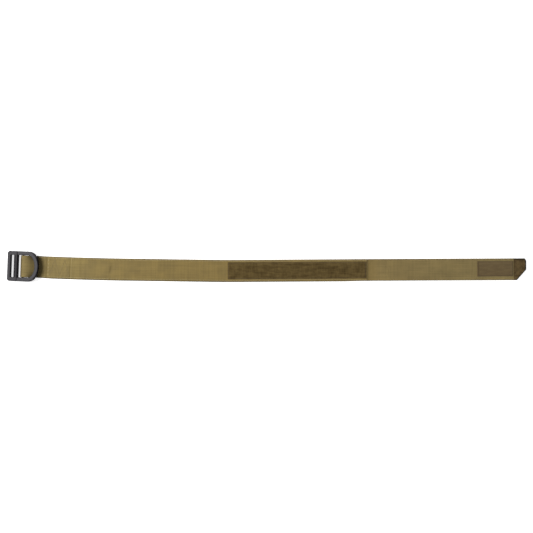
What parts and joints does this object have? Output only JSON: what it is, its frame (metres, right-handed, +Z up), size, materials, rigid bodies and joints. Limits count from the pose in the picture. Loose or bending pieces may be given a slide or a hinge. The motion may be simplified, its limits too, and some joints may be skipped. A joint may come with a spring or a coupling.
{
  "type": "webbing belt",
  "caption": "Flat webbing utility belt: a metal slot-and-ring buckle in a stitched webbing loop, a doubled strap with a loop panel, and a single tail with a hook patch and a cut, covered tip.",
  "frame": {"origin": "centre of the bounding box in plan, on the flat surface that the belt lies on", "axes": "+X along the belt from the buckle to the tip, +Z up out of the belt's outer face, +Y across the belt"},
  "size_m": [1.0706, 0.064, 0.0162],
  "materials": {
    "buckle_metal": "satin black coating, worn on the edges",
    "webbing": "tan-khaki woven nylon webbing",
    "loop_pile": "dark olive-brown looped pile",
    "hook_tape": "olive-brown hook tape",
    "thread": "khaki bonded nylon thread",
    "cover_sheet": "dark brown synthetic sheet"
  },
  "bodies": {
    "panel": {"webbing_lower_panel": "webbing", "webbing_upper_panel": "webbing", "edge_seams_panel": "thread", "ply_end_seam": "thread", "loop_panel": "loop_pile", "loop_panel_seam": "thread"},
    "middle": {"webbing_lower_middle": "webbing", "webbing_upper_middle": "webbing", "edge_seams_middle": "thread"},
    "front": {"webbing_lower_front": "webbing", "webbing_upper_front": "webbing", "edge_seams_front": "thread"},
    "buckle_end": {"webbing_loop": "webbing", "webbing_lower_buckle_end": "webbing", "webbing_upper_buckle_end": "webbing", "loop_tack_seam": "thread", "box_zigzag_seam": "thread", "box_end_seam": "thread", "edge_seams_buckle_end": "thread"},
    "buckle": {"buckle_frame": "buckle_metal"},
    "tail": {"webbing_tail": "webbing"},
    "tail_outer": {"webbing_tail_outer": "webbing"},
    "tip": {"webbing_tip": "webbing", "hook_patch": "hook_tape", "hook_patch_seam": "thread", "tip_cover": "cover_sheet", "tip_cover_seam": "thread"}
  },
  "joints": [
    {"name": "front_bend", "type": "hinge", "parent": "panel", "child": "middle", "pos_m": [-0.0886, -0.00978, 0.0022], "axis": [-0.0052, 1, 0], "range_deg": [-90, 90]},
    {"name": "crease_bend", "type": "hinge", "parent": "middle", "child": "front", "pos_m": [-0.32257, -0.00611, 0.0022], "axis": [0.0157, 0.9999, 0], "range_deg": [-90, 90]},
    {"name": "buckle_end_bend", "type": "hinge", "parent": "front", "child": "buckle_end", "pos_m": [-0.39654, -0.00404, 0.0022], "axis": [0.0279, 0.9996, 0], "range_deg": [-90, 90]},
    {"name": "buckle_swing", "type": "hinge", "parent": "buckle_end", "child": "buckle", "pos_m": [-0.50246, 0.00003, 0.00475], "axis": [-0.0384, -0.9993, 0], "range_deg": [0, 120]},
    {"name": "tail_fold", "type": "hinge", "parent": "panel", "child": "tail", "pos_m": [0.2134, -0.0082, 0.00545], "axis": [0.0035, -1, 0], "range_deg": [0, 180]},
    {"name": "tail_bend", "type": "hinge", "parent": "tail", "child": "tail_outer", "pos_m": [0.3214, -0.00782, 0.0011], "axis": [-0.0035, 1, 0], "range_deg": [-90, 90]},
    {"name": "tip_bend", "type": "hinge", "parent": "tail_outer", "child": "tip", "pos_m": [0.4279, -0.00745, 0.0011], "axis": [-0.0035, 1, 0], "range_deg": [-90, 90]}
  ]
}
